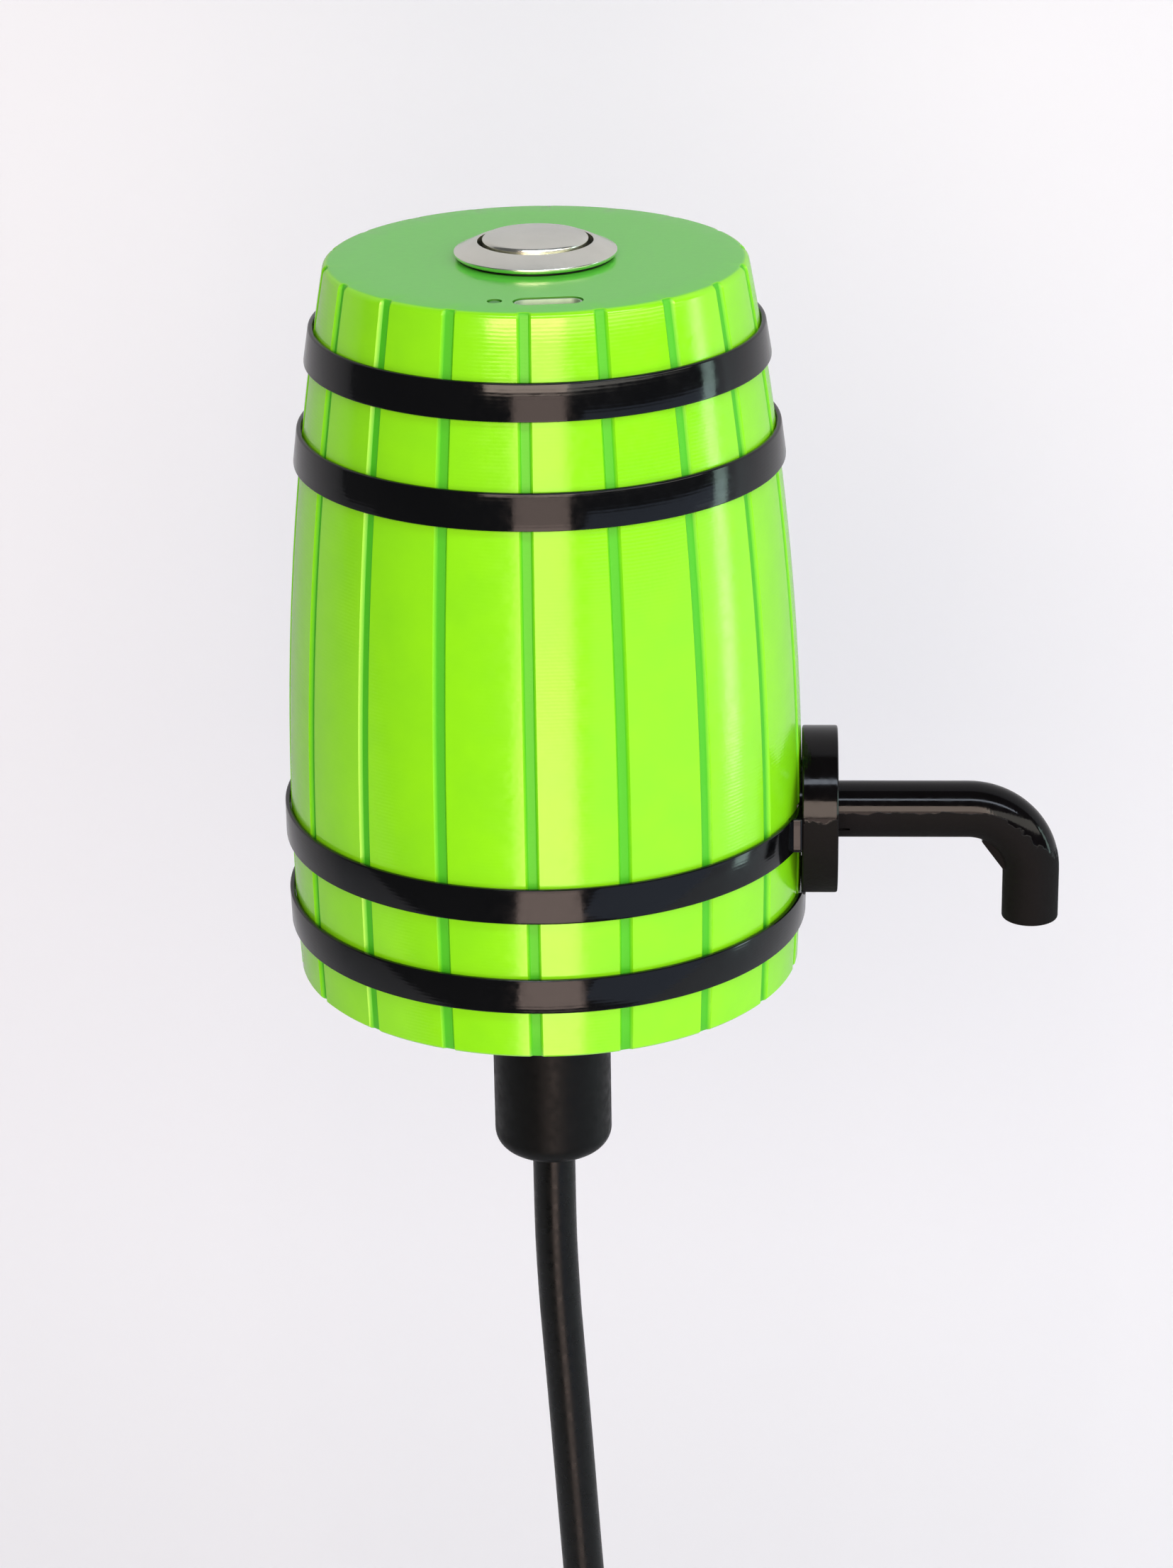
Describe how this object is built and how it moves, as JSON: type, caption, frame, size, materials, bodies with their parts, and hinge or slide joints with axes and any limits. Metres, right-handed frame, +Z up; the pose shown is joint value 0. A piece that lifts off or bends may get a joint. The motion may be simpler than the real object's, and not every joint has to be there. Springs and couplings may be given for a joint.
{
  "type": "electric cider pourer",
  "caption": "Barrel-shaped electric pourer that seats on a bottle neck and pumps cider up a dip tube and out of a bent side spout while its top button is held.",
  "frame": {"origin": "centre of the barrel's underside, on the axis of the barrel and of the bottle neck that it sits on", "axes": "+Z up along the barrel's axis, +X along the spout, and the charging socket lies near the rim towards -Y"},
  "size_m": [0.1092, 0.0738, 0.3737],
  "materials": {
    "lime_print": "satin lime-green printed plastic with fine upright layer lines",
    "black_print": "semi-gloss black printed plastic",
    "black_plastic": "matt black plastic",
    "black_rubber": "matt black rubber",
    "tube_plastic": "satin black flexible tube",
    "stainless": "turned stainless steel",
    "steel": "plated steel",
    "brass": "bare brass",
    "clear_hose": "milky silicone hose",
    "pump_plastic": "moulded off-white plastic",
    "gear_nylon": "moulded natural nylon",
    "circuit_board": "green solder mask",
    "cell_wrap": "blue shrink wrap over the metal can",
    "motor_metal": "zinc-plated can",
    "light_guide": "milky clear plastic",
    "red_wire": "red silicone sleeve",
    "black_wire": "black silicone sleeve"
  },
  "bodies": {
    "housing": {"barrel_shell": "lime_print", "head_hoop_top": "black_print", "quarter_hoop_top": "black_print", "quarter_hoop_bottom": "black_print", "head_hoop_bottom": "black_print", "base_plate": "black_plastic", "base_screw_1": "steel", "base_screw_2": "steel", "base_screw_3": "steel", "base_screw_4": "steel", "neck_stopper": "black_rubber", "dip_tube": "tube_plastic", "spout": "black_print", "spout_washer": "steel", "spout_nut": "steel", "button_bezel": "stainless", "button_gasket": "black_rubber", "button_nut": "steel", "button_spring": "steel", "terminal_block": "black_plastic", "button_terminal_1": "brass", "button_terminal_2": "brass", "charge_board": "circuit_board", "usb_c_socket": "stainless", "usb_c_tongue": "black_plastic", "status_light": "light_guide", "board_screw_1": "steel", "board_screw_2": "steel", "battery_cell": "cell_wrap", "cell_tab_positive": "steel", "cell_tab_negative": "steel", "cell_lead_positive": "red_wire", "cell_lead_negative": "black_wire", "switch_lead": "red_wire", "motor_return_lead": "black_wire", "motor_feed_lead": "red_wire", "pump_body": "pump_plastic", "pump_cover": "pump_plastic", "idler_pin": "steel", "shaft_seal": "black_rubber", "pump_screw_1": "steel", "pump_screw_2": "steel", "pump_screw_3": "steel", "pump_screw_4": "steel", "suction_hose": "clear_hose", "discharge_hose": "clear_hose", "motor_can": "motor_metal", "motor_end_cap": "gear_nylon", "motor_terminal_1": "brass", "motor_terminal_2": "brass", "motor_screw_1": "steel", "motor_screw_2": "steel"},
    "button": {"button_cap": "stainless", "plunger_clip": "steel", "moving_contact": "brass"},
    "drive": {"drive_shaft": "steel", "drive_gear": "gear_nylon"},
    "idler": {"idler_gear": "gear_nylon"}
  },
  "joints": [
    {"name": "button_press", "type": "slide", "parent": "housing", "child": "button", "axis": [0, 0, -1], "range_m": [0, 0.0018], "stiffness_N_per_m": 600, "springref_m": -0.004, "deforming": ["button_spring"]},
    {"name": "pump_drive", "type": "hinge", "parent": "housing", "child": "drive", "pos_m": [0.0045, 0.0048, 0.022], "axis": [0, 0, 1], "continuous": true},
    {"name": "pump_idler", "type": "hinge", "parent": "housing", "child": "idler", "pos_m": [0.0045, -0.0048, 0.022], "axis": [0, 0, 1], "continuous": true}
  ],
  "couplings": [
    {"joint": "pump_idler", "follows": "pump_drive", "ratio": -1}
  ]
}
